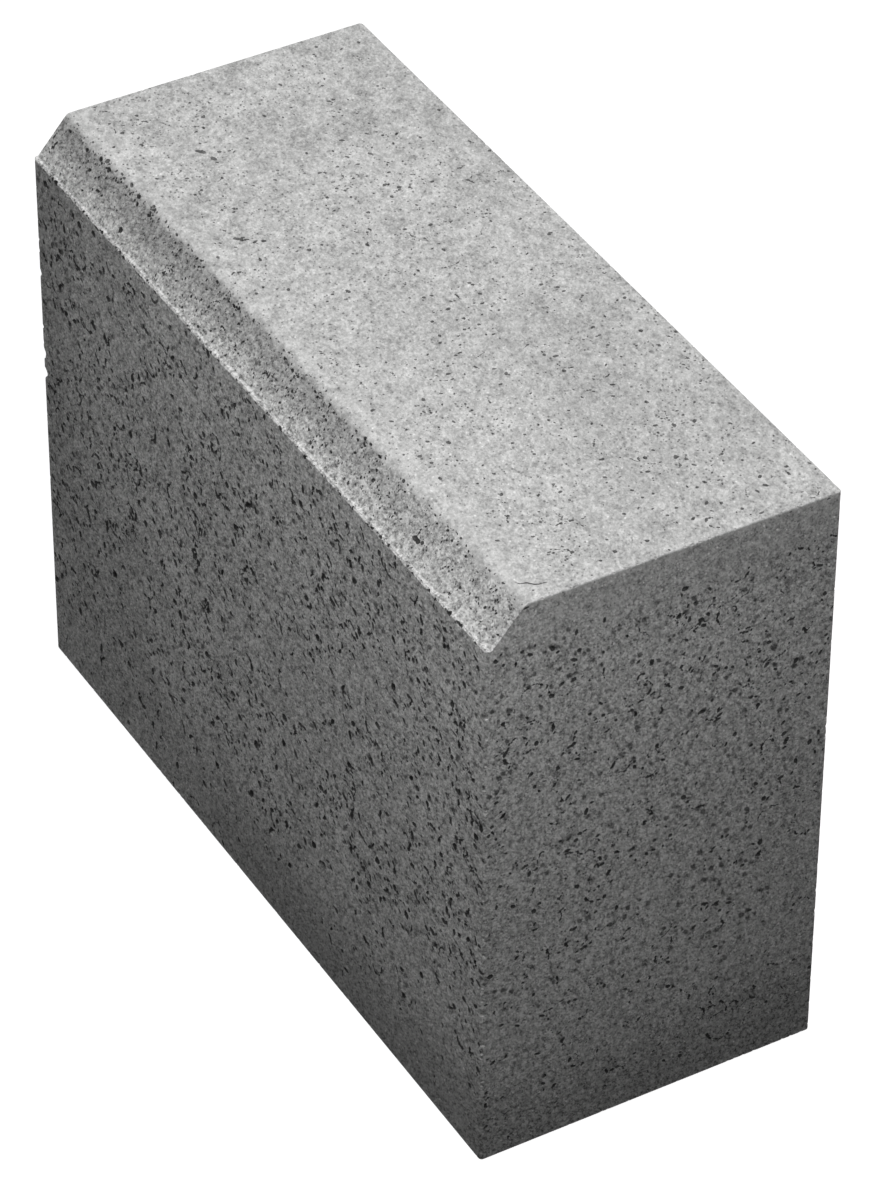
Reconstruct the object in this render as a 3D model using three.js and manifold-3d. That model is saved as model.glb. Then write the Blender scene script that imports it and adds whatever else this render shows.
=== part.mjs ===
// Concrete kerb stone: one short upright unit of kerb, pressed in a steel mould as a single block.
// Millimetres, +Z up. X runs along the kerb line, -Y is the road side and Z = 0 is the bed, so the
// origin lies in the middle of the bed.
//
// The mould box gives the plan with its rounded upright arrises, extruded to the height of the
// stone with a rounded arris round the bed and the top. The press head then forms the upper road
// edge: a slope that rises from a narrow level ledge to the top.

import * as THREE from "three";
import { mergeVertices } from "three/addons/utils/BufferGeometryUtils.js";
import Module from "manifold-3d";

// Driving dimensions
const length = 335; // end face to end face, about three units to the metre with their joints
const width = 140; // road face to back face
const height = 250; // bed to top
const slopeDrop = 15; // from the top down to the ledge
const slopeRun = 15; // from the road face back to where the top begins
const ledgeWidth = 2; // level ledge at the foot of the slope, where the edge of the press head stood
const lipBreak = 0.6; // small bevel that takes the sharpness off the ledge's outer lip
const browRadius = 4; // blunt edge between the slope and the top
const uprightArris = 1.5; // radius of the four upright edges, from the corners of the mould
const edgeArris = 0.6; // radius of the edges round the top and round the bed
const cornerSteps = 6; // half the facets of an upright arris and of the brow
const edgeSteps = 3; // facets of the rounding round the top and the bed
const overcut = 20; // how far the press head's form runs past the stone

// A closed outline through the given corners, run anticlockwise, each corner [x, y, radius] rounded
// by an arc tangent to both of its sides. A radius of 0 leaves the corner sharp.
function roundedOutline(corners) {
  const outline = new THREE.Shape();
  corners.forEach(([x, y, radius], i) => {
    const corner = new THREE.Vector2(x, y);
    const [beforeX, beforeY] = corners.at(i - 1);
    const [afterX, afterY] = corners[(i + 1) % corners.length];
    const incoming = corner.clone().sub(new THREE.Vector2(beforeX, beforeY)).normalize();
    const outgoing = new THREE.Vector2(afterX, afterY).sub(corner).normalize();
    const turn = Math.atan2(incoming.cross(outgoing), incoming.dot(outgoing));
    const tangent = radius * Math.tan(Math.abs(turn) / 2);
    const start = corner.clone().addScaledVector(incoming, -tangent);
    if (i === 0) outline.moveTo(start.x, start.y);
    else outline.lineTo(start.x, start.y);
    if (radius === 0) return;
    const toCentre = new THREE.Vector2(-incoming.y, incoming.x).multiplyScalar(Math.sign(turn) * radius);
    const centre = start.clone().add(toCentre);
    const from = Math.atan2(-toCentre.y, -toCentre.x);
    outline.absarc(centre.x, centre.y, radius, from, from + turn, turn < 0);
  });
  outline.closePath();
  return outline;
}

// The block as the mould box leaves it: the plan extruded from the bed to the top.
function mouldedBlock() {
  const end = length / 2;
  const side = width / 2;
  const plan = roundedOutline([
    [-end, -side, uprightArris],
    [end, -side, uprightArris],
    [end, side, uprightArris],
    [-end, side, uprightArris],
  ]);
  const block = new THREE.ExtrudeGeometry(plan, {
    depth: height - 2 * edgeArris,
    curveSegments: cornerSteps,
    bevelThickness: edgeArris,
    bevelSize: edgeArris,
    bevelOffset: -edgeArris,
    bevelSegments: edgeSteps,
  });
  return block.translate(0, 0, edgeArris);
}

// What the press head takes off the upper road edge: a profile in Y and Z, extruded along X.
function pressedEdge() {
  const road = -width / 2;
  const ledge = height - slopeDrop;
  const outside = road - overcut;
  const above = height + overcut;
  const lipFall = lipBreak + overcut; // the lip's 45 degree bevel, run on into the open
  const profile = roundedOutline([
    [outside, ledge - lipFall, 0],
    [road + lipBreak, ledge, 0],
    [road + ledgeWidth, ledge, 0],
    [road + slopeRun, height, browRadius],
    [road + slopeRun + overcut, height, 0],
    [road + slopeRun + overcut, above, 0],
    [outside, above, 0],
  ]);
  const form = new THREE.ExtrudeGeometry(profile, {
    depth: length + 2 * overcut,
    curveSegments: cornerSteps,
    bevelEnabled: false,
  });
  form.translate(0, 0, -length / 2 - overcut);
  const alongX = new THREE.Vector3(1, 0, 0);
  const alongY = new THREE.Vector3(0, 1, 0);
  const alongZ = new THREE.Vector3(0, 0, 1);
  return form.applyMatrix4(new THREE.Matrix4().makeBasis(alongY, alongZ, alongX));
}

const wasm = await Module();
wasm.setup();

// A closed three.js geometry as a manifold-3d solid.
function toSolid(geometry) {
  geometry.deleteAttribute("normal");
  geometry.deleteAttribute("uv");
  const merged = mergeVertices(geometry);
  const mesh = new wasm.Mesh({
    numProp: 3,
    vertProperties: merged.attributes.position.array,
    triVerts: new Uint32Array(merged.index.array),
  });
  return new wasm.Manifold(mesh);
}

// The solid back as a three.js geometry, with a flat normal on each facet.
function toGeometry(solid) {
  const mesh = solid.getMesh();
  const indexed = new THREE.BufferGeometry();
  indexed.setAttribute("position", new THREE.BufferAttribute(mesh.vertProperties, mesh.numProp));
  indexed.setIndex(new THREE.BufferAttribute(mesh.triVerts, 1));
  const faceted = indexed.toNonIndexed();
  faceted.computeVertexNormals();
  return faceted;
}

const kerbBlock = toSolid(mouldedBlock()).subtract(toSolid(pressedEdge()));

const concrete = new THREE.MeshStandardMaterial({
  name: "concrete",
  color: 0xb0b0ae,
  roughness: 0.92,
  metalness: 0,
});

const kerbStone = new THREE.Mesh(toGeometry(kerbBlock), concrete);
kerbStone.name = "kerb_stone";

const part = new THREE.Group();
part.name = "concrete_kerb";
part.add(kerbStone);

export default part;
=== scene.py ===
"""The looks of a pressed concrete kerb stone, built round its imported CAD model.

Metres, +Z up. X runs along the stone, its near end at +X, and the road side is at -Y.
The stone is one piece: the CAD solid, with chips broken off its arrises and thousands of
small voids carved between the grains, and one procedural concrete material.
"""

import math
import random

import bmesh
import bpy
from mathutils import Matrix, Vector, noise
from mathutils.bvhtree import BVHTree
from mathutils.kdtree import KDTree


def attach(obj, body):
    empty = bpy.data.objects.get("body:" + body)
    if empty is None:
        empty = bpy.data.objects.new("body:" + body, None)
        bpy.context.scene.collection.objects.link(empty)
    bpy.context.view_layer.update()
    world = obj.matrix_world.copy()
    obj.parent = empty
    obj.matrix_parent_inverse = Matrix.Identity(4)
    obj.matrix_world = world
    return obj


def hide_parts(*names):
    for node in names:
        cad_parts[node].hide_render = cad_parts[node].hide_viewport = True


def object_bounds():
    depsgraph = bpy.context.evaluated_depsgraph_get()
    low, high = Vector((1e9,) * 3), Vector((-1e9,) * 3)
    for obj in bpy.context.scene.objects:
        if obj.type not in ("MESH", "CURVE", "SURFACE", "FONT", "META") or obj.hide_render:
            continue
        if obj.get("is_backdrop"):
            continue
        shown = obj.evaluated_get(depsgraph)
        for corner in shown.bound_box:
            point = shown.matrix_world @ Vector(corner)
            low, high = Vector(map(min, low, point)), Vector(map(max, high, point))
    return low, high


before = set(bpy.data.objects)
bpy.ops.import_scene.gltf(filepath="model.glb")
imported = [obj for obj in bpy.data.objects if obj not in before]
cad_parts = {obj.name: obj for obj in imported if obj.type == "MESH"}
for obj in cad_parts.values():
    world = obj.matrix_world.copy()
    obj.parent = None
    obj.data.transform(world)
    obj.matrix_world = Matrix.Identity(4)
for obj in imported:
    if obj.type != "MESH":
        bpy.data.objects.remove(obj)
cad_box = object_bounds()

MM = 0.001
CM2 = (10 * MM) ** 2
SEED = 41

# The block, from the frame, and the form that the press head gives its upper road edge.
LOW = Vector(cad_box[0])
HIGH = Vector(cad_box[1])
LENGTH, WIDTH, HEIGHT = HIGH - LOW
SLOPE_DROP = 15 * MM
SLOPE_RUN = 15 * MM
LEDGE = 2 * MM
UPRIGHT_ARRIS = 1.5 * MM
EDGE_ARRIS = 0.6 * MM
LIP_BREAK = 0.6 * MM

# The camera: where it looks from, in degrees round and above the stone, and what it looks at.
CAMERA_AZIMUTH = 59.909
CAMERA_ELEVATION = 38.7705
CAMERA_ROLL = -0.3622
CAMERA_DISTANCE = 2.0931
CAMERA_TARGET = Vector((0.0092, 0.0043, 0.1177))
FRAME_LONG_SIDE = 1200
FOCAL_PIXELS = 5671.2
SENSOR = 36.0

# The studio: one round softbox above the stone and a pale floor.
LAMP_CENTRE = Vector((0.134, -0.084, 0.448))
LAMP_DIAMETER = 0.996
LAMP_POWER = 3.19
FLOOR_HALF = 4.0
FLOOR_BOUNCE = 0.05
FLOOR_PALE = 0.8
FLOOR_GLOW_NEAR = 0.8
GLOW_NEAR_TO = 0.28
GLOW_FAR_FROM = 0.62


# ---------------------------------------------------------------- camera

def make_camera():
    """The camera at the photograph's angle, with its roll, on a sensor as long as the picture."""
    azimuth = math.radians(CAMERA_AZIMUTH)
    elevation = math.radians(CAMERA_ELEVATION)
    back = Vector((math.sin(azimuth) * math.cos(elevation),
                   -math.cos(azimuth) * math.cos(elevation),
                   math.sin(elevation)))
    level_right = Vector((0, 0, 1)).cross(back).normalized()
    level_up = back.cross(level_right)
    roll = math.radians(CAMERA_ROLL)
    right = level_right * math.cos(roll) - level_up * math.sin(roll)
    up = level_up * math.cos(roll) + level_right * math.sin(roll)
    data = bpy.data.cameras.new("camera")
    data.sensor_fit = "AUTO"
    data.sensor_width = SENSOR
    data.lens = FOCAL_PIXELS * SENSOR / FRAME_LONG_SIDE
    data.clip_end = 50
    camera = bpy.data.objects.new("camera", data)
    turn = Matrix((right, up, back)).transposed().to_4x4()
    camera.matrix_world = Matrix.Translation(CAMERA_TARGET + back * CAMERA_DISTANCE) @ turn
    bpy.context.scene.collection.objects.link(camera)
    bpy.context.scene.camera = camera


# ---------------------------------------------------------------- faces and arrises

class Face:
    """A plane face: a corner, two axes along its sides, its outward normal and its size."""

    def __init__(self, corner, across, up, width, height):
        self.corner = Vector(corner)
        self.across = Vector(across).normalized()
        self.up = Vector(up).normalized()
        self.normal = self.across.cross(self.up)
        self.width = width
        self.height = height

    def point(self, u, v, out=0.0):
        """The point at u and v on the face, raised by out along the normal."""
        return self.corner + self.across * u + self.up * v + self.normal * out

    def holds(self, u, v, margin):
        """Whether u and v lie on the face, at least margin from its sides."""
        return margin <= u <= self.width - margin and margin <= v <= self.height - margin


def stone_faces():
    """The seven plane faces, by name."""
    ledge_z = HIGH.z - SLOPE_DROP
    slope_up = (0, SLOPE_RUN - LEDGE, SLOPE_DROP)
    return {
        "road": Face(LOW, (1, 0, 0), (0, 0, 1), LENGTH, HEIGHT - SLOPE_DROP),
        "back": Face((HIGH.x, HIGH.y, LOW.z), (-1, 0, 0), (0, 0, 1), LENGTH, HEIGHT),
        "near_end": Face((HIGH.x, LOW.y, LOW.z), (0, 1, 0), (0, 0, 1), WIDTH, HEIGHT),
        "far_end": Face((LOW.x, HIGH.y, LOW.z), (0, -1, 0), (0, 0, 1), WIDTH, HEIGHT),
        "top": Face((LOW.x, LOW.y + SLOPE_RUN, HIGH.z), (1, 0, 0), (0, 1, 0),
                    LENGTH, WIDTH - SLOPE_RUN),
        "slope": Face((LOW.x, LOW.y + LEDGE, ledge_z), (1, 0, 0), slope_up,
                      LENGTH, Vector(slope_up).length),
        "bed": Face((LOW.x, HIGH.y, LOW.z), (1, 0, 0), (0, -1, 0), LENGTH, WIDTH),
    }


def arris(start, end, side_a, side_b, radius):
    """An edge as a face without height: it touches the rounded edge between two normals."""
    outward = (side_a + side_b).normalized()
    along = (end - start).normalized()
    apex_drop = radius * (math.sqrt(2) - 1)
    return Face(start - outward * apex_drop, along, outward.cross(along), (end - start).length, 0)


def box_arrises():
    """The uprights, the edges round the bed and the top, and the ledge's lip, as three lists."""
    x, y, z = Vector((1, 0, 0)), Vector((0, 1, 0)), Vector((0, 0, 1))
    uprights = []
    level = []
    for sx, at_x in ((-1, LOW.x), (1, HIGH.x)):
        for sy, at_y in ((-1, LOW.y), (1, HIGH.y)):
            top = HIGH.z if sy > 0 else HIGH.z - SLOPE_DROP
            uprights.append(arris(Vector((at_x, at_y, LOW.z)), Vector((at_x, at_y, top)),
                                  x * sx, y * sy, UPRIGHT_ARRIS))
        for sz, at_z, from_y in ((-1, LOW.z, LOW.y), (1, HIGH.z, LOW.y + SLOPE_RUN)):
            level.append(arris(Vector((at_x, from_y, at_z)), Vector((at_x, HIGH.y, at_z)),
                               x * sx, z * sz, EDGE_ARRIS))
    for at_y, at_z, sy, sz in ((LOW.y, LOW.z, -1, -1), (HIGH.y, LOW.z, 1, -1), (HIGH.y, HIGH.z, 1, 1)):
        level.append(arris(Vector((LOW.x, at_y, at_z)), Vector((HIGH.x, at_y, at_z)),
                           y * sy, z * sz, EDGE_ARRIS))
    lip_z = HIGH.z - SLOPE_DROP
    lip = arris(Vector((LOW.x, LOW.y, lip_z)), Vector((HIGH.x, LOW.y, lip_z)), -y, z, LIP_BREAK)
    return uprights, level, [lip]


# ---------------------------------------------------------------- voids and their cutters

# A pit is a cone with 5 to 8 sides, by its half width, and the widest have a step in their wall.
# The cutter's rim and cap lie a little above the face, and its lowest point leans to one side.
FIVE_SIDES_TO = 0.5 * MM
SIX_SIDES_TO = 1.0 * MM
STEP_FROM = 1.3 * MM
STEP_WIDTH = 0.7
STEP_DEPTH = 0.5
STEP_LEAN = 0.6
RIM_WIDTH = 1.1
RIM_LIFT = 0.22
CAP_LIFT = 1.5
MOST_LEAN = 0.35
PIT_REACH = 1.35


class Pit:
    """A small hole: its place on a face, half sizes, turn and depth."""

    def __init__(self, face, u, v, long_half, short_half, angle, depth):
        self.face = face
        self.u = u
        self.v = v
        self.long_half = long_half
        self.short_half = short_half
        self.angle = angle
        self.depth = depth
        self.centre = face.point(u, v)
        self.reach = max(PIT_REACH * long_half, depth)

    def add_cutter(self, rng, vertices, triangles):
        """Adds the closed form that carves it: an uneven ring above the face, narrowing below."""
        stepped = self.short_half > STEP_FROM
        sides = 5 + (self.short_half > FIVE_SIDES_TO) + (self.short_half > SIX_SIDES_TO) + stepped
        turn = rng.uniform(0, math.tau)
        jitter = [rng.uniform(0.75, 1.25) for _ in range(sides)]
        lean_u = rng.uniform(-MOST_LEAN, MOST_LEAN) * self.long_half
        lean_v = rng.uniform(-MOST_LEAN, MOST_LEAN) * self.short_half
        lift = RIM_LIFT * self.short_half
        cos_a = math.cos(self.angle)
        sin_a = math.sin(self.angle)
        start = len(vertices)

        def place(x, y, out):
            vertices.append(self.face.point(self.u + x * cos_a - y * sin_a,
                                            self.v + x * sin_a + y * cos_a, out))

        def ring(scale, out, lean):
            for i in range(sides):
                a = turn + math.tau * i / sides
                r = jitter[i] * scale
                place(math.cos(a) * self.long_half * r + lean_u * lean,
                      math.sin(a) * self.short_half * r + lean_v * lean, out)

        ring(RIM_WIDTH, lift, 0)
        rings = 1
        if stepped:
            ring(STEP_WIDTH, -self.depth * STEP_DEPTH, STEP_LEAN)
            rings = 2
        bottom = start + rings * sides
        cap = bottom + 1
        place(lean_u, lean_v, -self.depth)
        place(0, 0, lift * CAP_LIFT)
        for i in range(sides):
            j = (i + 1) % sides
            for r in range(rings - 1):
                a, b = start + r * sides + i, start + r * sides + j
                c, d = a + sides, b + sides
                triangles.append((a, c, b))
                triangles.append((b, c, d))
            last = bottom - sides
            triangles.append((last + i, bottom, last + j))
            triangles.append((start + j, cap, start + i))


GROOVE_LIFT = 0.35


class Groove:
    """A narrow gap along a grain: the points of its path on a face, its half width and depth."""

    def __init__(self, face, path, half_width, depth):
        self.face = face
        self.path = path
        self.half_width = half_width
        self.depth = depth
        ends = [face.point(*path[0]), face.point(*path[-1])]
        middle = face.point(*path[len(path) // 2])
        self.centre = (ends[0] + ends[1] + middle) / 3
        self.reach = max((face.point(u, v) - self.centre).length for u, v in path) + depth

    def add_cutter(self, rng, vertices, triangles):
        """Adds the closed form that carves it: a V along the path that runs out at both ends."""
        start = len(vertices)
        lift = GROOVE_LIFT * self.half_width
        last = len(self.path) - 1
        vertices.append(self.face.point(*self.path[0], lift))
        for i in range(1, last):
            (u0, v0), (u, v), (u1, v1) = self.path[i - 1:i + 2]
            long = math.hypot(u1 - u0, v1 - v0)
            left_u, left_v = -(v1 - v0) / long, (u1 - u0) / long
            half = self.half_width * rng.uniform(0.7, 1.35)
            depth = self.depth * rng.uniform(0.75, 1.25)
            shift = half * rng.uniform(-0.4, 0.4)
            for side, out in ((half, lift), (shift, -depth), (-half, lift)):
                vertices.append(self.face.point(u + left_u * side, v + left_v * side, out))
        vertices.append(self.face.point(*self.path[last], lift))
        tail = len(vertices) - 1
        for k in range(3):
            n = (k + 1) % 3
            triangles.append((start, start + 1 + k, start + 1 + n))
            triangles.append((tail, tail - 3 + n, tail - 3 + k))
            for i in range(last - 2):
                a, b = start + 1 + 3 * i + k, start + 1 + 3 * i + n
                triangles.append((a, a + 3, b))
                triangles.append((b, a + 3, b + 3))


def separate_groups(items):
    """The items in a few groups, such that none overlaps another of its own group."""
    tree = KDTree(len(items))
    for i, item in enumerate(items):
        tree.insert(item.centre, i)
    tree.balance()
    widest = max(item.reach for item in items)
    group_of = {}
    groups = []
    for i, item in enumerate(items):
        taken = set()
        for _, j, distance in tree.find_range(item.centre, item.reach + widest):
            if j in group_of and distance < item.reach + items[j].reach:
                taken.add(group_of[j])
        free = next(g for g in range(len(groups) + 1) if g not in taken)
        if free == len(groups):
            groups.append([])
        group_of[i] = free
        groups[free].append(item)
    return groups


def mesh_object(name, vertices, triangles):
    """A new mesh in the scene."""
    mesh = bpy.data.meshes.new(name)
    mesh.from_pydata([tuple(v) for v in vertices], [], triangles)
    mesh.update()
    piece = bpy.data.objects.new(name, mesh)
    bpy.context.scene.collection.objects.link(piece)
    return piece


def subtract(block, cutter):
    """Takes the cutter's closed forms, which don't overlap each other, out of the block."""
    modifier = block.modifiers.new("carve", "BOOLEAN")
    modifier.operation = "DIFFERENCE"
    modifier.solver = "MANIFOLD"
    modifier.object = cutter
    depsgraph = bpy.context.evaluated_depsgraph_get()
    carved = bpy.data.meshes.new_from_object(block.evaluated_get(depsgraph))
    block.modifiers.clear()
    block.data = carved
    bpy.data.objects.remove(cutter)


def carve(block, voids, rng):
    """Carves pits and grooves out of the block, a group of separate ones at a time."""
    for group in separate_groups(voids):
        vertices, triangles = [], []
        for void in group:
            void.add_cutter(rng, vertices, triangles)
        subtract(block, mesh_object("cutter", vertices, triangles))


# ---------------------------------------------------------------- where the voids are

def smooth_step(value, low, high):
    """0 below low, 1 above high, smooth between."""
    t = min(1.0, max(0.0, (value - low) / (high - low)))
    return t * t * (3 - 2 * t)


def openness(p):
    """How open the concrete is at a point, from 0 to 1: patches of more and fewer voids."""
    broad = noise.noise(p / (38 * MM) + Vector((3.1, 1.7, 9.2)))
    fine = noise.noise(p / (13 * MM) + Vector((7.7, 2.4, 0.3)))
    return min(1.0, max(0.0, 0.6 + 0.6 * broad + 0.7 * fine))


def side_weight(p):
    """On the mould's sides: dense fines under the pressed top, and fewer voids towards the bed."""
    under_top = smooth_step(HIGH.z - p.z, 10 * MM, 28 * MM)
    over_bed = min(1.0, 0.12 + (p.z - LOW.z) / (125 * MM))
    return under_top * over_bed


def road_weight(p):
    """As on the other sides, but the voids go on further down, most of all by the far end."""
    under_top = smooth_step(HIGH.z - p.z, 10 * MM, 28 * MM)
    over_bed = min(1.25, 0.05 + (p.z - LOW.z) / (75 * MM))
    far_foot = smooth_step(-p.x, -40 * MM, 60 * MM) * smooth_step(HIGH.z - p.z, 90 * MM, 150 * MM)
    return under_top * over_bed * (1 + far_foot)


def top_weight(p):
    """On the pressed top: denser fines along the brow and the two ends."""
    from_edge = min(p.y - LOW.y - SLOPE_RUN, p.x - LOW.x, HIGH.x - p.x)
    return 0.3 + 0.7 * smooth_step(from_edge, 3 * MM, 14 * MM)


def even_weight(p):
    """The same all over."""
    return 1.0


# How much the sizes of pits vary, the widest half size for a median of 1, so that no single
# hole stands out, and how many times as long as wide a pit may be.
SIZE_SPREAD = 0.33
WIDEST_HALF = 0.9
LONGEST = 1.9


def random_pit(face, u, v, angle, median, steepness, rng):
    """A pit of a random size about the median diameter, longer along the angle."""
    half = min(0.5 * median * math.exp(rng.gauss(0, SIZE_SPREAD)), WIDEST_HALF * median)
    stretch = math.sqrt(rng.uniform(1.0, LONGEST))
    depth = half * rng.uniform(0.75, 1.25) * steepness
    return Pit(face, u, v, half * stretch, half / stretch, angle, depth)


# Coarse grains: their radii in millimetres, how flat they are, how far round one a line of voids
# goes in radians, and the way between two of its points.
GRAIN_RADII = (1.8, 6.4)
GRAIN_SQUASH = (0.6, 1.0)
OUTLINE_SWEEP = (0.8, 3.0)
OUTLINE_STEP = 1.25 * MM


def grain_outline(u, v, rng):
    """Points on a face along part of an unseen coarse grain, from u and v."""
    radius = rng.uniform(*GRAIN_RADII) * MM
    squash = rng.uniform(*GRAIN_SQUASH)
    tilt = rng.uniform(0, math.tau)
    first = rng.uniform(0, math.tau)
    sweep = rng.uniform(*OUTLINE_SWEEP)
    steps = max(3, round(radius * sweep / OUTLINE_STEP))
    path = []
    for i in range(steps + 1):
        a = first + sweep * i / steps
        r = radius * rng.uniform(0.93, 1.07)
        x, y = r * math.cos(a), r * squash * math.sin(a)
        path.append((x * math.cos(tilt) - y * math.sin(tilt), x * math.sin(tilt) + y * math.cos(tilt)))
    return [(u + x - path[0][0], v + y - path[0][1]) for x, y in path]


def scatter(face, weight, count, rng):
    """Random places on a face, as many as count, more of them where the concrete is open."""
    places = []
    while len(places) < count:
        u = rng.uniform(0, face.width)
        v = rng.uniform(0, face.height)
        p = face.point(u, v)
        if rng.random() < weight(p) * openness(p):
            places.append((u, v))
    return places


# The shares of outlines with a groove and of their points with a pit, the size of such a pit
# against a single one, and how far voids stay from a face's sides and from an edge's ends.
GROOVE_SHARE = 0.35
PIT_SHARE = 0.6
OUTLINE_PIT = 0.8
RIM_MARGIN = 0.7 * MM
CLEAR_END = 2 * MM


def face_voids(face, weight, outlines, singles, median, steepness, rng):
    """The voids of a face, for outlines and single pits per square centimetre."""
    area = face.width * face.height / CM2
    voids = []
    for u, v in scatter(face, weight, outlines * area, rng):
        path = grain_outline(u, v, rng)
        if not all(face.holds(x, y, RIM_MARGIN) for x, y in path):
            continue
        if rng.random() < GROOVE_SHARE:
            half_width = median * rng.uniform(0.16, 0.28)
            part = path[:rng.randint(3, 5)]
            voids.append(Groove(face, part, half_width, median * rng.uniform(0.2, 0.38)))
        for i, (x, y) in enumerate(path):
            if rng.random() < PIT_SHARE:
                before, after = path[max(i - 1, 0)], path[min(i + 1, len(path) - 1)]
                angle = math.atan2(after[1] - before[1], after[0] - before[0]) + rng.gauss(0, 0.25)
                voids.append(random_pit(face, x, y, angle, median * OUTLINE_PIT, steepness, rng))
    for u, v in scatter(face, weight, singles * area, rng):
        if face.holds(u, v, RIM_MARGIN):
            voids.append(random_pit(face, u, v, rng.uniform(0, math.tau), median, steepness, rng))
    return voids


def places_along(length, spacing, rng):
    """Random places along a length, on average a spacing apart and clear of its ends."""
    u = rng.expovariate(1 / spacing)
    while u < length - CLEAR_END:
        if u > CLEAR_END:
            yield u
        u += rng.expovariate(1 / spacing)


def lip_voids(road, rng):
    """Small pits at the top of the road face, which bite into the ledge's lip."""
    return [random_pit(road, u, road.height - rng.uniform(0.1, 1.3) * MM, 0, 1.4 * MM, 1.6, rng)
            for u in places_along(road.width, 3.2 * MM, rng)]


def brow_voids(slope, rng):
    """Small pits in twos and threes at the top of the slope, smaller towards the near end."""
    voids = []
    for u in places_along(slope.width, 4 * MM, rng):
        median = (1.5 - 0.7 * u / slope.width) * MM
        for _ in range(rng.randint(1, 3)):
            v = slope.height - rng.uniform(0.4, 4.6) * MM
            voids.append(random_pit(slope, u + rng.gauss(0, 1.5) * MM, v, rng.gauss(0, 0.4),
                                    median, 1.6, rng))
    return voids


def all_voids(faces, rng):
    """The random voids of the whole stone: for each face its weight, outlines and singles per
    square centimetre, median diameter in millimetres, and depth for each half width."""
    kinds = (("road", road_weight, 0.7, 2.0, 1.8, 2.5),
             ("near_end", side_weight, 0.52, 1.2, 1.4, 2.0),
             ("back", side_weight, 0.13, 0.6, 1.9, 1.8),
             ("far_end", side_weight, 0.2, 0.8, 1.7, 1.8),
             ("top", top_weight, 0.2, 2.0, 1.1, 1.5),
             ("slope", even_weight, 0.4, 8.5, 0.9, 1.3),
             ("bed", even_weight, 0.03, 0.3, 1.5, 1.5))
    voids = lip_voids(faces["road"], rng)
    for name, weight, outlines, singles, median, steepness in kinds:
        voids += face_voids(faces[name], weight, outlines, singles, median * MM, steepness, rng)
    return voids + brow_voids(faces["slope"], rng)


def notable_voids(faces):
    """The largest single marks, at their places on each face: u, v, long half, short half, turn
    and depth, in millimetres and radians, and one fine crack in the top."""
    pits = {
        "top": ((47.2, 30.8, 2.2, 1.2, 0.6, 1.8), (53.2, 32.9, 1.7, 1.1, 0.1, 1.5),
                (102.5, 16.0, 2.1, 1.1, 0.9, 1.5), (104.3, 17.2, 1.2, 0.9, 0.2, 1.1),
                (84.0, 29.6, 1.3, 0.6, 0.6, 0.7), (71.7, 49.6, 0.9, 0.7, 0.0, 0.8),
                (325.9, 6.6, 0.8, 0.4, 0.9, 0.6), (328.1, 11.2, 0.9, 0.4, 1.5, 0.6)),
        "slope": ((275.2, 7.0, 2.0, 1.2, 0.1, 1.2), (277.2, 6.7, 1.5, 1.2, 0.6, 1.2),
                  (279.2, 7.8, 1.3, 1.0, 0.5, 1.0), (62.0, 3.9, 1.6, 1.2, 0.0, 1.5),
                  (34.2, 18.2, 1.7, 1.1, 0.4, 1.4), (28.7, 10.8, 1.3, 0.9, 0.3, 1.2)),
        "near_end": ((25.6, 226.8, 1.6, 1.2, 2.2, 1.8), (27.8, 224.4, 1.0, 0.8, 0.0, 1.2),
                     (35.0, 230.0, 1.9, 0.8, 1.4, 1.2), (36.3, 221.8, 1.3, 1.1, 0.0, 1.5),
                     (34.2, 218.3, 1.8, 0.9, 2.6, 1.2), (34.3, 209.7, 1.2, 1.1, 0.0, 2.0),
                     (45.9, 231.0, 1.5, 0.8, 1.5, 1.2), (13.8, 230.0, 1.1, 0.8, 0.3, 1.1),
                     (15.3, 248.3, 1.4, 0.6, 0.1, 0.8), (119.0, 248.9, 0.9, 0.5, 0.0, 0.8),
                     (134.6, 248.6, 1.0, 0.6, 0.0, 0.8)),
    }
    voids = []
    for name, marks in pits.items():
        for u, v, long_half, short_half, angle, depth in marks:
            voids.append(Pit(faces[name], u * MM, v * MM, long_half * MM, short_half * MM,
                             angle, depth * MM))
    crack = ((322.0, 2.0), (324.5, 3.6), (325.3, 6.1), (327.2, 7.8), (327.8, 9.2), (328.1, 11.8))
    path = [(u * MM, v * MM) for u, v in crack]
    voids.append(Groove(faces["top"], path, 0.4 * MM, 0.8 * MM))
    return voids


# The bites in the far upright: height, half length and depth, in millimetres.
FAR_BITES = ((183, 2.3, 1.5), (158, 1.4, 1.4), (146, 3.2, 2.4), (135.8, 2.8, 3.0))


def arris_chips(uprights, level, lips, rng):
    """Chips along the arrises: their spacing, half lengths and depths, in each kind. The far
    upright has a few bites as well."""
    chips = []
    kinds = ((uprights, 8 * MM, (0.6, 1.6), (0.5, 1.1)),
             (level, 9 * MM, (0.5, 1.3), (0.35, 0.8)),
             (lips, 2.2 * MM, (0.5, 1.6), (0.35, 0.8)))
    for arrises, spacing, lengths, depths in kinds:
        for edge in arrises:
            for u in places_along(edge.width, spacing, rng):
                long_half = rng.uniform(*lengths) * MM
                depth = rng.uniform(*depths) * MM
                chips.append(Pit(edge, u, rng.uniform(-0.3, 0.3) * MM, long_half,
                                 depth * rng.uniform(1.1, 1.6), rng.uniform(-0.4, 0.4), depth))
    far_upright = uprights[0]
    for z, long_half, depth in FAR_BITES:
        chips.append(Pit(far_upright, z * MM, 0, long_half * MM, 1.6 * depth * MM, 0.1, depth * MM))
    return chips


# ---------------------------------------------------------------- the stone

PANEL = 24 * MM


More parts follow.
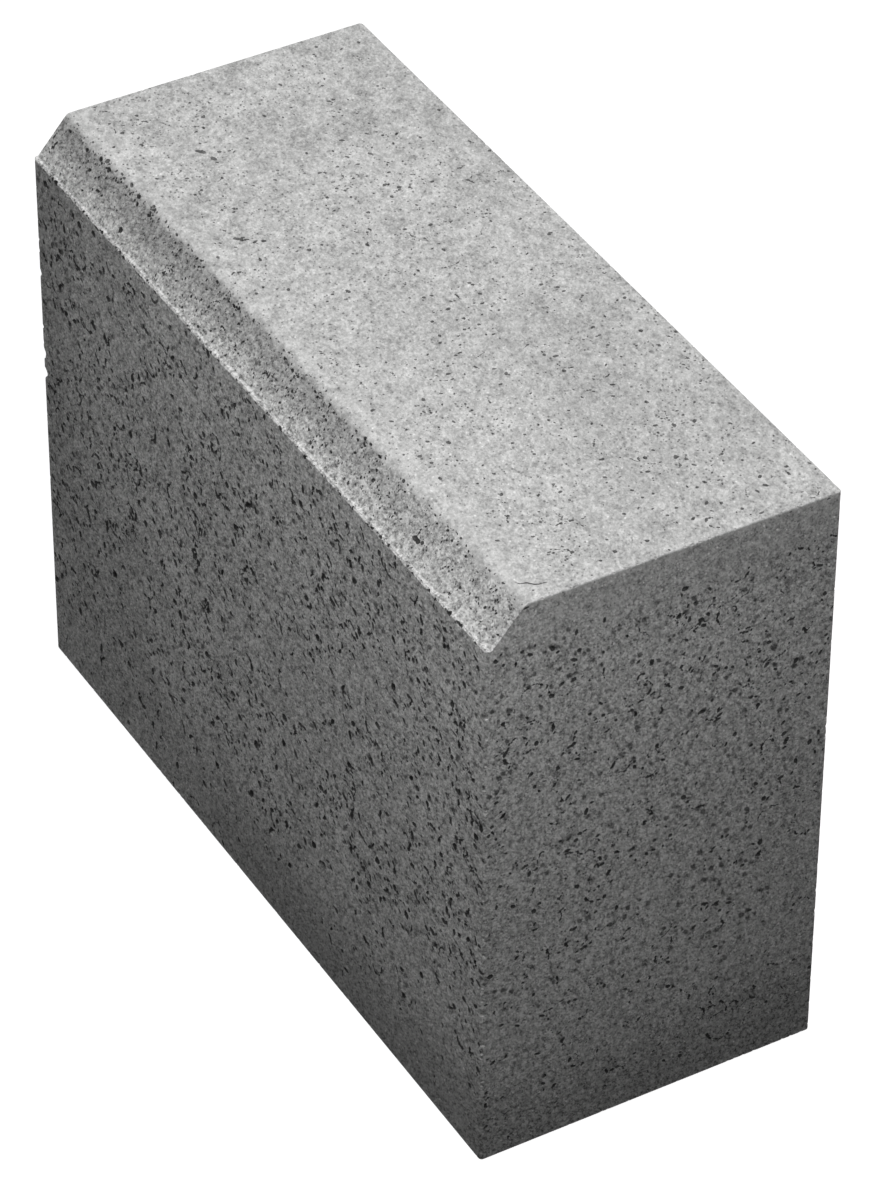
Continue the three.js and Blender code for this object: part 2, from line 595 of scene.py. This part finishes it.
def cut_into_panels(bm):
    """Cuts the surface along level and upright planes, so that no triangle becomes very long."""
    for axis in range(3):
        size = HIGH[axis] - LOW[axis]
        panels = round(size / PANEL)
        normal = Vector((0, 0, 0))
        normal[axis] = 1
        for i in range(1, panels):
            everything = bm.verts[:] + bm.edges[:] + bm.faces[:]
            bmesh.ops.bisect_plane(bm, geom=everything, dist=0.001 * MM,
                                   plane_co=LOW + normal * (size * i / panels), plane_no=normal)


def copy_of_node(name, node):
    """The CAD node's own mesh as a new closed piece."""
    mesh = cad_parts[node].data.copy()
    mesh.name = name
    bm = bmesh.new()
    bm.from_mesh(mesh)
    bmesh.ops.remove_doubles(bm, verts=bm.verts, dist=0.001 * MM)
    cut_into_panels(bm)
    bm.to_mesh(mesh)
    bm.free()
    piece = bpy.data.objects.new(name, mesh)
    bpy.context.scene.collection.objects.link(piece)
    return piece


def triangles_of(mesh):
    """The mesh as triangles. Where two faces would get the same diagonal, which would leave the
    surface open, the smaller of them is first parted about its middle."""
    whole = bmesh.new()
    whole.from_mesh(mesh)
    while True:
        whole.verts.index_update()
        bm = whole.copy()
        bmesh.ops.triangulate(bm, faces=bm.faces)
        doubled = [[vertex.index for vertex in edge.verts]
                   for edge in bm.edges if len(edge.link_faces) > 2]
        if not doubled:
            whole.free()
            return bm
        bm.free()
        for a, b in doubled:
            whole.verts.ensure_lookup_table()
            shared = set(whole.verts[a].link_faces) & set(whole.verts[b].link_faces)
            if len(shared) > 1:
                smallest = min(shared, key=lambda face: face.calc_area())
                bmesh.ops.poke(whole, faces=[smallest])


def surface_tree(piece):
    """The piece's surface as it is now, to measure depth from."""
    bm = triangles_of(piece.data)
    tree = BVHTree.FromBMesh(bm)
    bm.free()
    return tree


def depth_below(surface, point):
    """How far a point lies from a surface."""
    return surface.find_nearest(point)[3]


def mark_depth(piece, surface):
    """Writes how far each vertex lies from a surface, in millimetres."""
    depths = [depth_below(surface, vertex.co) / MM for vertex in piece.data.vertices]
    attribute = piece.data.attributes.new("depth_mm", "FLOAT", "POINT")
    attribute.data.foreach_set("value", depths)


def atlas_places(faces):
    """Where each face lies on the bake map, in metres, and whether it is turned a quarter."""
    gap = 4 * MM
    second_row = HEIGHT + 2 * gap
    third_x = LENGTH + 2 * gap
    return {
        "road": (gap, gap, False),
        "near_end": (third_x, gap, False),
        "far_end": (third_x + WIDTH + gap, gap, False),
        "back": (gap, second_row, False),
        "top": (third_x, second_row, True),
        "slope": (third_x + faces["top"].height + gap, second_row, True),
        "bed": (third_x + faces["top"].height + faces["slope"].height + 2 * gap, second_row, True),
    }


SHORTEST_EDGE = 0.0005 * MM
SMALLEST_AREA = 1e-6 * MM ** 2


def neighbours(vertex):
    """The vertices that share an edge with a vertex."""
    return {edge.other_vert(vertex) for edge in vertex.link_edges}


def weld_short_edges(bm):
    """Joins the ends of separate very short edges, wherever that keeps the surface closed."""
    joined = {}
    touched = set()
    for edge in bm.edges:
        if edge.calc_length() < SHORTEST_EDGE:
            a, b = edge.verts
            around_a, around_b = neighbours(a), neighbours(b)
            around = around_a | around_b
            if len(around_a & around_b) == 2 and touched.isdisjoint(around):
                joined[a] = b
                touched |= around
    bmesh.ops.weld_verts(bm, targetmap=joined)
    return len(joined)


def turn_flat_triangles(bm):
    """Turns the long side of each triangle without area, so that it shares its neighbour's."""
    for triangle in [triangle for triangle in bm.faces if triangle.calc_area() < SMALLEST_AREA]:
        if triangle.is_valid:
            longest = max(triangle.edges, key=lambda edge: edge.calc_length())
            across = [vertex for face in longest.link_faces for vertex in face.verts
                      if vertex not in longest.verts]
            if len(across) == 2 and across[0] not in neighbours(across[1]):
                bmesh.utils.edge_rotate(longest)


ATLAS_SIZE = 648 * MM
SHARP_ANGLE = math.radians(80)
ON_SURFACE = 0.003 * MM


def finish_mesh(piece, faces, moulded_surface):
    """Triangles, smooth only inside the voids and chips, and a flat map of all sides for baking."""
    bm = triangles_of(piece.data)
    while weld_short_edges(bm):
        pass
    for _ in range(3):
        turn_flat_triangles(bm)
    bm.normal_update()
    places = atlas_places(faces)
    uv_layer = bm.loops.layers.uv.new("OFBake")
    hollow = {vertex for vertex in bm.verts if depth_below(moulded_surface, vertex.co) > ON_SURFACE}
    broken = {triangle for triangle in bm.faces if not hollow.isdisjoint(triangle.verts)}
    for triangle in bm.faces:
        triangle.smooth = triangle in broken
        centre = triangle.calc_center_median()

        def distance(name):
            face = faces[name]
            depth = abs((centre - face.corner).dot(face.normal))
            return depth + (1 - triangle.normal.dot(face.normal)) * 0.5 * MM

        nearest = min(faces, key=distance)
        face = faces[nearest]
        x, y, turned = places[nearest]
        for loop in triangle.loops:
            from_corner = loop.vert.co - face.corner
            u, v = from_corner.dot(face.across), from_corner.dot(face.up)
            if turned:
                u, v = face.height - v, u
            loop[uv_layer].uv = ((x + u) / ATLAS_SIZE, (y + v) / ATLAS_SIZE)
    for edge in bm.edges:
        a, b = edge.link_faces
        edge.smooth = a in broken and b in broken and edge.calc_face_angle(0) < SHARP_ANGLE
    bm.to_mesh(piece.data)
    bm.free()


# ---------------------------------------------------------------- shader nodes

class Graph:
    """Short ways to add the nodes of a material or a world."""

    def __init__(self, owner):
        owner.use_nodes = True
        self.nodes = owner.node_tree.nodes
        self.links = owner.node_tree.links
        self.nodes.clear()

    def add(self, kind, **inputs):
        """A node with its inputs given by name, with underscores for spaces."""
        node = self.nodes.new(kind)
        for name, value in inputs.items():
            self.feed(node.inputs[name.replace("_", " ")], value)
        return node

    def feed(self, socket, value):
        """Links an output to the socket, or sets the socket to a plain value."""
        if isinstance(value, bpy.types.NodeSocket):
            self.links.new(value, socket)
        else:
            socket.default_value = value

    def math(self, operation, a, b=0.0):
        node = self.nodes.new("ShaderNodeMath")
        node.operation = operation
        self.feed(node.inputs[0], a)
        self.feed(node.inputs[1], b)
        return node.outputs[0]

    def total(self, terms):
        result = terms[0]
        for term in terms[1:]:
            result = self.math("ADD", result, term)
        return result

    def product(self, terms):
        result = terms[0]
        for term in terms[1:]:
            result = self.math("MULTIPLY", result, term)
        return result

    def ramp(self, value, from_min, from_max, to_min=0.0, to_max=1.0):
        """A smooth step from to_min to to_max, while the value goes from from_min to from_max."""
        node = self.nodes.new("ShaderNodeMapRange")
        node.interpolation_type = "SMOOTHSTEP"
        for socket, item in zip(node.inputs, (value, from_min, from_max, to_min, to_max)):
            self.feed(socket, item)
        return node.outputs[0]

    def near(self, value, centre, from_outer, to_inner):
        """1 within to_inner of the centre, 0 beyond from_outer, and smooth between."""
        away = self.math("ABSOLUTE", self.math("SUBTRACT", value, centre))
        return self.ramp(away, from_outer, to_inner)

    def noise(self, where, scale, detail=2.0, roughness=0.55):
        """Noise about 0."""
        node = self.add("ShaderNodeTexNoise", Vector=where, Scale=scale, Detail=detail,
                        Roughness=roughness)
        return self.math("SUBTRACT", node.outputs["Fac"], 0.5)

    def cells(self, where, scale):
        """The distance to the nearest of many scattered points, and two random numbers for it."""
        node = self.add("ShaderNodeTexVoronoi", Vector=where, Scale=scale)
        split = self.add("ShaderNodeSeparateColor", Color=node.outputs["Color"])
        return node.outputs["Distance"], split.outputs[0], split.outputs[1]

    def spots(self, where, scale, sizes, unevenness):
        """Uneven spots, one in each cell: all of each spot, its core, and a random number."""
        distance, size, kind = self.cells(where, scale)
        share = self.math("DIVIDE", distance, self.mix(size, *sizes))
        share = self.math("ADD", share, unevenness)
        return self.ramp(share, 1.15, 0.5), self.ramp(share, 0.85, 0.45), kind

    def stretched(self, where, along, factor):
        """Places for a pattern that is drawn out by a factor along a direction."""
        direction = along.normalized()
        dot = self.add("ShaderNodeVectorMath")
        dot.operation = "DOT_PRODUCT"
        self.feed(dot.inputs[0], where)
        self.feed(dot.inputs[1], direction)
        back = self.add("ShaderNodeVectorMath")
        back.operation = "SCALE"
        self.feed(back.inputs[0], direction)
        self.feed(back.inputs["Scale"], self.scaled(1 / factor - 1, dot.outputs["Value"]))
        moved = self.add("ShaderNodeVectorMath")
        moved.operation = "ADD"
        self.feed(moved.inputs[0], where)
        self.feed(moved.inputs[1], back.outputs[0])
        return moved.outputs[0]

    def scaled(self, factor, value):
        return self.math("MULTIPLY", value, factor)

    def mix(self, share, low, high):
        """From low, where the share is 0, to high, where it is 1, in a straight line."""
        return self.math("ADD", low, self.math("MULTIPLY", share, self.math("SUBTRACT", high, low)))


# ---------------------------------------------------------------- concrete

# The tone before its patterns, its limits, and its tint, which is close to a plain grey.
BASE_TONE = 0.47
DARKEST = 0.01
LIGHTEST = 0.8
TINT = (1.0, 1.0, 0.99)

# Painted shade in the carved holes: the share of its tone that a hole keeps from this depth down, which
# is more on the pressed top.
HOLE_PAINTED_SHADE = 0.12
TOP_HOLE_PAINTED_SHADE = 0.3
HOLE_SHADE_FULL_AT_MM = 0.15

# How fine the patterns are, in cells or waves to the metre. The sand is drawn out along one
# direction, or it would look streaked from low over the road face.
GRAIN_SCALE = 1500
GRIT_SCALE = 500
SPECK_SCALE = 620
BLOT_SCALE = 320
CLUMP_SCALE = 150
COARSE_GRAIN_SCALE = 150
WAVER_SCALE = 55
CLOUD_SCALE = 26
SAND_ALONG = Vector((0.675, -0.391, 0.626))
SAND_STRETCH = 1.8
BROW_WAVER = 5 * MM

# How strong each pattern is, the contrast of the sand on each part, and the strength of clumps and
# clouds at the far end, and on the slope and the near end.
GRAIN_ON_LEVEL = 0.34
GRAIN_ON_SIDES = 0.44
GRIT_STRENGTH = 1.45
CLUMP_STRENGTH = 0.68
CLOUD_STRENGTH = 0.36
TOP_CONTRAST = 1.07
SLOPE_CONTRAST = 2.05
SIDE_CONTRAST = 1.95
END_CONTRAST = 1.85
FOOT_CONTRAST = 1.3
FINES_CONTRAST = 0.82
FAR_MOTTLE = 1.5
CALM_MOTTLE = 0.62

# The tones of single parts. A pair goes from the far to the near end, or from road to back. These first
# ones paint the fall of light and shade over the sides and ends.
MID_SIDE_PAINTED_LIGHT = 1.1
FAR_END_PAINTED_SHADE = 0.76
HIGH_FAR_END_PAINTED_SHADE = 0.81
SIDE_FOOT_PAINTED_SHADE = 0.52
END_FOOT_PAINTED_SHADE = 0.63
END_PAINTED_LIGHT = (1.1, 0.95)
HIGH_END_PAINTED_SHADE = 0.87
# Painted shade at the near back of the top and painted light at its far back; the tone by the brow is
# its fines'.
NEAR_BACK_PAINTED_SHADE = 0.89
FAR_BACK_PAINTED_LIGHT = 1.12
BY_BROW_TONE = 1.07
# Painted light and shade on the slope, a painted highlight on the ledge's lip and painted shade on its
# inner half.
HIGH_SLOPE_PAINTED_SHADE = (0.68, 0.89)
SLOPE_PAINTED_LIGHT = (1.01, 1.16)
LIP_PAINTED_HIGHLIGHT = (1.16, 1.03)
INNER_LEDGE_PAINTED_SHADE = 0.85

# Specks and blots, whose dark ones paint the shade of voids too fine to carve and whose light ones are
# grains
# and partly painted highlights: their sizes as shares of a cell, how uneven they are, the share that
# isn't dark, the share of specks that is light instead, and their tones.
SPECK_SIZES = (0.16, 0.34)
BLOT_SIZES = (0.26, 0.52)
UNEVENNESS = 1.2
UNDARK_SHARE = 0.3
LIGHT_SHARE = 0.25
SPECK_SHADE_STRENGTH = 0.62
LEVEL_BLOT_SHADE = 0.76
SIDE_BLOT_SHADE = 0.53
END_BLOT_SHADE = 0.62
BLOT_CORE_SHADE = 0.32
LEVEL_GRAIN_HIGHLIGHT = 1.35
SIDE_GRAIN_HIGHLIGHT = 1.9
SCRATCH_TONE = 1.3


class Regions:
    """The place of a point on the stone, and from 0 to 1 how far it is on each part."""

    def __init__(self, graph, where):
        x, y, z = graph.add("ShaderNodeSeparateXYZ", Vector=where).outputs
        self.x, self.y, self.z = x, y, z

        # The pressed top, with an uneven line along the brow, and the slope with its ledge.
        ledge_z = HIGH.z - SLOPE_DROP
        waver = graph.noise(where, WAVER_SCALE)
        self.wavering_z = graph.math("ADD", z, graph.scaled(BROW_WAVER, waver))
        self.pressed = graph.ramp(self.wavering_z, HIGH.z - 2.5 * MM, HIGH.z - 1.3 * MM)
        not_pressed = graph.math("SUBTRACT", 1.0, self.pressed)
        slope = FACES["slope"]
        over_slope = graph.total([
            graph.scaled(slope.normal.y, graph.math("SUBTRACT", y, slope.corner.y)),
            graph.scaled(slope.normal.z, graph.math("SUBTRACT", z, slope.corner.z)),
        ])
        self.on_slope = graph.product([
            graph.ramp(over_slope, -1.2 * MM, -0.3 * MM),
            graph.ramp(z, ledge_z - 0.8 * MM, ledge_z - 0.2 * MM),
            not_pressed,
        ])
        self.by_ledge = graph.product([self.on_slope, graph.ramp(z, ledge_z + 0.4 * MM, ledge_z)])

        # The mould's upright sides, the near end among them, and their foot towards that end.
        self.upright = graph.math("SUBTRACT", not_pressed, self.on_slope)
        self.on_end = graph.ramp(x, HIGH.x - 1.2 * MM, HIGH.x - 0.3 * MM)
        self.at_foot = graph.product([
            graph.ramp(z, LOW.z + 60 * MM, LOW.z),
            graph.ramp(x, -110 * MM, 20 * MM),
        ])

        # The fines: beside the brow and under the pressed top.
        brow_y = LOW.y + SLOPE_RUN
        self.by_brow = graph.product([self.pressed,
                                      graph.ramp(y, brow_y + 13 * MM, brow_y + 3 * MM)])
        self.under_top = graph.product([self.upright,
                                        graph.ramp(z, HIGH.z - 26 * MM, HIGH.z - 10 * MM)])


class Patterns:
    """The uneven patterns that several tones share, from single sand grains to broad clouds."""

    def __init__(self, graph, where):
        self.sand = graph.stretched(where, SAND_ALONG, SAND_STRETCH)
        _, self.grain, _ = graph.cells(self.sand, GRAIN_SCALE)
        self.grit = graph.noise(self.sand, GRIT_SCALE, 3, 0.8)
        self.clumps = graph.noise(where, CLUMP_SCALE)
        self.clouds = graph.noise(where, CLOUD_SCALE)


def sand_tone(graph, at, patterns):
    """Grains, grit, clumps and clouds: the sand is stronger off the top and weaker in the fines."""
    grain_share = graph.mix(at.upright, GRAIN_ON_LEVEL, GRAIN_ON_SIDES)
    speckle = graph.math("ADD",
                         graph.product([graph.math("SUBTRACT", patterns.grain, 0.5), grain_share]),
                         graph.scaled(GRIT_STRENGTH, patterns.grit))
    on_level = graph.mix(at.on_slope, TOP_CONTRAST, SLOPE_CONTRAST)
    on_side = graph.mix(at.on_end, SIDE_CONTRAST, END_CONTRAST)
    fines = graph.math("ADD", at.by_brow, at.under_top)
    contrast = graph.product([
        graph.mix(at.upright, on_level, on_side),
        graph.mix(at.at_foot, 1.0, FOOT_CONTRAST),
        graph.mix(fines, 1.0, FINES_CONTRAST),
    ])
    mottle = graph.math("ADD", graph.scaled(CLUMP_STRENGTH, patterns.clumps),
                        graph.scaled(CLOUD_STRENGTH, patterns.clouds))
    mottle_strength = graph.product([
        graph.ramp(at.x, 0.0, LOW.x, 1.0, FAR_MOTTLE),
        graph.mix(graph.math("ADD", at.on_slope, at.on_end), 1.0, CALM_MOTTLE),
    ])
    return graph.total([
        1.0,
        graph.product([contrast, speckle]),
        graph.product([mottle, mottle_strength]),
    ])


def painted_side_light(graph, at):
    """Painted light and shade on the sides: darkest at the far end and at the near foot, and lightest
    half way along.
    """
    by_far_end = graph.product([
        graph.ramp(at.x, LOW.x + 50 * MM, LOW.x),
        graph.ramp(at.z, LOW.z + 30 * MM, LOW.z + 120 * MM),
    ])
    high_far_end = graph.product([
        graph.ramp(at.x, LOW.x + 110 * MM, LOW.x + 30 * MM),
        graph.ramp(at.z, HIGH.z - 70 * MM, HIGH.z - 30 * MM),
    ])
    high_on_end = graph.ramp(at.z, HIGH.z - 48 * MM, HIGH.z - 15 * MM, 1.0, HIGH_END_PAINTED_SHADE)
    end_tone = graph.product([
        graph.ramp(at.y, -45 * MM, HIGH.y, *END_PAINTED_LIGHT),
        graph.mix(graph.ramp(at.y, -60 * MM, -35 * MM), 1.0, high_on_end),
    ])
    mid_side = graph.product([
        graph.near(at.x, -35 * MM, 75 * MM, 15 * MM),
        graph.near(at.z, 90 * MM, 65 * MM, 15 * MM),
    ])
    tone = graph.product([
        graph.mix(mid_side, 1.0, MID_SIDE_PAINTED_LIGHT),
        graph.mix(at.on_end, 1.0, end_tone),
        graph.mix(by_far_end, 1.0, FAR_END_PAINTED_SHADE),
        graph.mix(high_far_end, 1.0, HIGH_FAR_END_PAINTED_SHADE),
        graph.mix(at.at_foot, 1.0, graph.mix(at.on_end, SIDE_FOOT_PAINTED_SHADE, END_FOOT_PAINTED_SHADE)),
    ])
    return graph.mix(at.upright, 1.0, tone)


def top_fines_and_painted_light(graph, at):
    """The pressed top: painted shade in a patch at the near back, painted light far back, and lighter
    by the brow, where the fines lie.
    """
    near_back = graph.product([
        graph.near(at.x, 85 * MM, 80 * MM, 30 * MM),
        graph.ramp(at.y, -20 * MM, 25 * MM),
    ])
    far_back = graph.product([
        graph.ramp(at.x, -90 * MM, LOW.x),
        graph.ramp(at.y, -40 * MM, 30 * MM),
    ])
    patches = graph.product([
        graph.mix(near_back, 1.0, NEAR_BACK_PAINTED_SHADE),
        graph.mix(far_back, 1.0, FAR_BACK_PAINTED_LIGHT),
    ])
    return graph.product([
        graph.mix(at.pressed, 1.0, patches),
        graph.mix(at.by_brow, 1.0, BY_BROW_TONE),
    ])


def painted_slope_light(graph, at):
    """Painted light and shade on the slope: lightest at its foot and near end, with a painted highlight
    on its ledge's outer half and painted shade on its inner half.
    """
    ledge_z = HIGH.z - SLOPE_DROP
    high_tone = graph.ramp(at.x, 40 * MM, 150 * MM, *HIGH_SLOPE_PAINTED_SHADE)
    up_slope = graph.ramp(at.wavering_z, ledge_z + 1 * MM, ledge_z + 9 * MM)
    along_slope = graph.ramp(at.x, -80 * MM, 160 * MM, *SLOPE_PAINTED_LIGHT)
    lip_tone = graph.ramp(at.x, -20 * MM, 150 * MM, *LIP_PAINTED_HIGHLIGHT)
    across_ledge = graph.ramp(at.y, LOW.y + 1.1 * MM, LOW.y + 1.9 * MM)
    return graph.product([
        graph.mix(at.on_slope, 1.0,
                  graph.product([graph.mix(up_slope, 1.0, high_tone), along_slope])),
        graph.mix(at.by_ledge, 1.0, graph.mix(across_ledge, lip_tone, INNER_LEDGE_PAINTED_SHADE)),
    ])


def painted_void_shade_and_grain_highlights(graph, at, patterns):
    """Dark specks and blots, painted shade of voids too faint to carve, mostly in the open patches,
    and light grains, partly painted highlights. The blots lie round coarse grains."""
    over_bed = graph.mix(at.upright, 1.0, graph.ramp(at.z, LOW.z, LOW.z + 85 * MM, 0.25, 1.0))
    by_height = graph.product([over_bed, graph.mix(at.under_top, 1.0, 0.1)])
    open_here = graph.product([graph.ramp(patterns.clouds, -0.12, 0.1, 0.45, 1.0), by_height])
    from_grain, _, _ = graph.cells(patterns.sand, COARSE_GRAIN_SCALE)
    uneven = graph.scaled(UNEVENNESS, patterns.grit)
    blot, blot_core, blot_kind = graph.spots(patterns.sand, BLOT_SCALE, BLOT_SIZES, uneven)
    speck, _, speck_kind = graph.spots(patterns.sand, SPECK_SCALE, SPECK_SIZES, uneven)
    # Painted shade of voids too faint to carve: dark blots round coarse grains, and dark specks.
    is_void = graph.product([
        graph.math("GREATER_THAN", blot_kind, UNDARK_SHARE),
        graph.ramp(from_grain, 0.3, 0.6, 0.35, 1.0),
        open_here,
    ])
    dark_speck = graph.product([
        speck,
        graph.math("GREATER_THAN", speck_kind, UNDARK_SHARE),
        open_here,
    ])
    # Light specks: light grains and, in part, painted highlights on the lit lower rims of voids.
    light_speck = graph.product([speck, graph.math("LESS_THAN", speck_kind, LIGHT_SHARE)])
    speck_strength = graph.total([
        SPECK_SHADE_STRENGTH,
        graph.scaled(-0.04, at.upright),
        graph.scaled(0.1, at.on_slope),
    ])
    blot_tone = graph.mix(at.upright, LEVEL_BLOT_SHADE,
                          graph.mix(at.on_end, SIDE_BLOT_SHADE, END_BLOT_SHADE))
    return graph.product([
        graph.math("SUBTRACT", 1.0, graph.product([dark_speck, speck_strength])),
        graph.mix(graph.product([blot, is_void]), 1.0, blot_tone),
        graph.mix(graph.product([blot_core, is_void, at.upright]), 1.0, BLOT_CORE_SHADE),
        graph.mix(light_speck, 1.0, graph.mix(at.upright, LEVEL_GRAIN_HIGHLIGHT, SIDE_GRAIN_HIGHLIGHT)),
    ])


def painted_hole_shade(graph, at):
    """Painted shade inside the carved voids, darker further down, and less dark on the top."""
    depth = graph.nodes.new("ShaderNodeAttribute")
    depth.attribute_name = "depth_mm"
    deepest = graph.mix(at.pressed, HOLE_PAINTED_SHADE, TOP_HOLE_PAINTED_SHADE)
    return graph.ramp(depth.outputs["Fac"], 0.0, HOLE_SHADE_FULL_AT_MM, 1.0, deepest)


def scratch_tone(graph, at, patterns):
    """A faint light scratch low on the near end, broken by the grit."""
    along = graph.math("DIVIDE", graph.math("SUBTRACT", at.y, -59 * MM), 25 * MM)
    scratch_z = graph.mix(along, LOW.z + 37 * MM, LOW.z + 35 * MM)
    away = graph.math("ABSOLUTE", graph.math("SUBTRACT", at.z, scratch_z))
    scratch = graph.product([
        at.on_end,
        graph.ramp(away, 0.4 * MM, 0.15 * MM),
        graph.ramp(along, 0.0, 0.15),
        graph.ramp(along, 1.0, 0.7),
        graph.ramp(patterns.grit, -0.1, 0.06),
    ])
    return graph.mix(scratch, 1.0, SCRATCH_TONE)


def concrete_material():
    """Grey concrete: its tones, which also paint light and shade over the faces and into the voids, a
    fine relief and a dull surface.
    """
    material = bpy.data.materials.new("concrete")
    graph = Graph(material)
    where = graph.nodes.new("ShaderNodeTexCoord").outputs["Object"]
    at = Regions(graph, where)
    patterns = Patterns(graph, where)

    # The side, top, slope, void and hole tones paint light and shade into the colour.
    value = graph.product([
        sand_tone(graph, at, patterns),
        painted_side_light(graph, at),
        top_fines_and_painted_light(graph, at),
        painted_slope_light(graph, at),
        painted_void_shade_and_grain_highlights(graph, at, patterns),
        painted_hole_shade(graph, at),
        scratch_tone(graph, at, patterns),
        BASE_TONE,
    ])
    value = graph.math("MINIMUM", graph.math("MAXIMUM", value, DARKEST), LIGHTEST)
    colour = graph.nodes.new("ShaderNodeCombineColor")
    for socket, share in zip(colour.inputs, TINT):
        graph.feed(socket, graph.scaled(share, value))

    # Relief in millimetres, rougher on the slope, where the press head drags.
    relief = graph.math("ADD", graph.scaled(0.16, patterns.grit), graph.scaled(0.12, patterns.clumps))
    relief = graph.product([relief, graph.mix(at.on_slope, 1.0, 1.7)])
    bump = graph.add("ShaderNodeBump", Strength=1.0, Distance=MM, Height=relief)

    shader = graph.add("ShaderNodeBsdfPrincipled", Base_Color=colour.outputs[0], Normal=bump.outputs[0])
    shader.inputs["Specular IOR Level"].default_value = 0.3
    graph.feed(shader.inputs["Roughness"], graph.ramp(patterns.grit, -0.2, 0.2, 0.86, 0.97))
    graph.add("ShaderNodeOutputMaterial", Surface=shader.outputs[0])
    return material


# ---------------------------------------------------------------- studio

def seen_rays(graph):
    """1 for rays that show the studio, straight, mirrored or through glass, and 0 for its light."""
    path = graph.nodes.new("ShaderNodeLightPath")
    shown = graph.math("MAXIMUM", path.outputs["Is Camera Ray"], path.outputs["Is Glossy Ray"])
    return graph.math("MAXIMUM", shown, path.outputs["Is Transmission Ray"])


def make_world():
    """White wherever it is seen, and no light of its own."""
    world = bpy.data.worlds.new("studio")
    graph = Graph(world)
    unlit = graph.add("ShaderNodeBackground", Strength=0.0)
    white = graph.add("ShaderNodeBackground", Color=(1, 1, 1, 1))
    mix = graph.nodes.new("ShaderNodeMixShader")
    for socket, value in zip(mix.inputs, (seen_rays(graph), unlit.outputs[0], white.outputs[0])):
        graph.feed(socket, value)
    graph.add("ShaderNodeOutputWorld", Surface=mix.outputs[0])
    bpy.context.scene.world = world


def make_floor():
    """A pale floor that keeps the stone's shadow and turns white away from it."""
    r = FLOOR_HALF
    floor = mesh_object("floor", [(-r, -r, 0), (r, -r, 0), (r, r, 0), (-r, r, 0)], [(0, 1, 2, 3)])
    material = bpy.data.materials.new("floor_paper")
    graph = Graph(material)
    where = graph.nodes.new("ShaderNodeTexCoord").outputs["Object"]
    away = graph.nodes.new("ShaderNodeVectorMath")
    away.operation = "LENGTH"
    graph.feed(away.inputs[0], where)
    strength = graph.ramp(away.outputs["Value"], GLOW_NEAR_TO, GLOW_FAR_FROM, FLOOR_GLOW_NEAR, 1.0)
    glow = graph.add("ShaderNodeEmission", Strength=strength)
    pale = graph.add("ShaderNodeBsdfDiffuse", Color=(FLOOR_PALE, FLOOR_PALE, FLOOR_PALE, 1))
    dark = graph.add("ShaderNodeBsdfDiffuse", Color=(FLOOR_BOUNCE, FLOOR_BOUNCE, FLOOR_BOUNCE, 1))
    seen = graph.nodes.new("ShaderNodeAddShader")
    graph.feed(seen.inputs[0], pale.outputs[0])
    graph.feed(seen.inputs[1], glow.outputs[0])
    mix = graph.nodes.new("ShaderNodeMixShader")
    for socket, value in zip(mix.inputs, (seen_rays(graph), dark.outputs[0], seen.outputs[0])):
        graph.feed(socket, value)
    graph.add("ShaderNodeOutputMaterial", Surface=mix.outputs[0])
    floor.data.materials.append(material)
    floor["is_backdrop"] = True


def make_lamp():
    """The softbox, which shines straight down and is hidden from the camera."""
    data = bpy.data.lights.new("softbox", "AREA")
    data.shape = "DISK"
    data.size = LAMP_DIAMETER
    data.energy = LAMP_POWER
    lamp = bpy.data.objects.new("softbox", data)
    lamp.location = LAMP_CENTRE
    lamp.visible_camera = False
    bpy.context.scene.collection.objects.link(lamp)


# ---------------------------------------------------------------- all of it

make_camera()
FACES = stone_faces()
rng = random.Random(SEED)
stone = copy_of_node("stone", "kerb_stone")
moulded_surface = surface_tree(stone)
carve(stone, arris_chips(*box_arrises(), rng), rng)
whole_surface = surface_tree(stone)
carve(stone, notable_voids(FACES) + all_voids(FACES, rng), rng)
finish_mesh(stone, FACES, moulded_surface)
mark_depth(stone, whole_surface)
stone.data.materials.clear()
stone.data.materials.append(concrete_material())

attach(stone, "root")
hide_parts("kerb_stone")

make_world()
make_floor()
make_lamp()
bpy.context.scene.view_settings.view_transform = "Standard"

visual_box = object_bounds()
[[list(corner) for corner in box] for box in (cad_box, visual_box)]
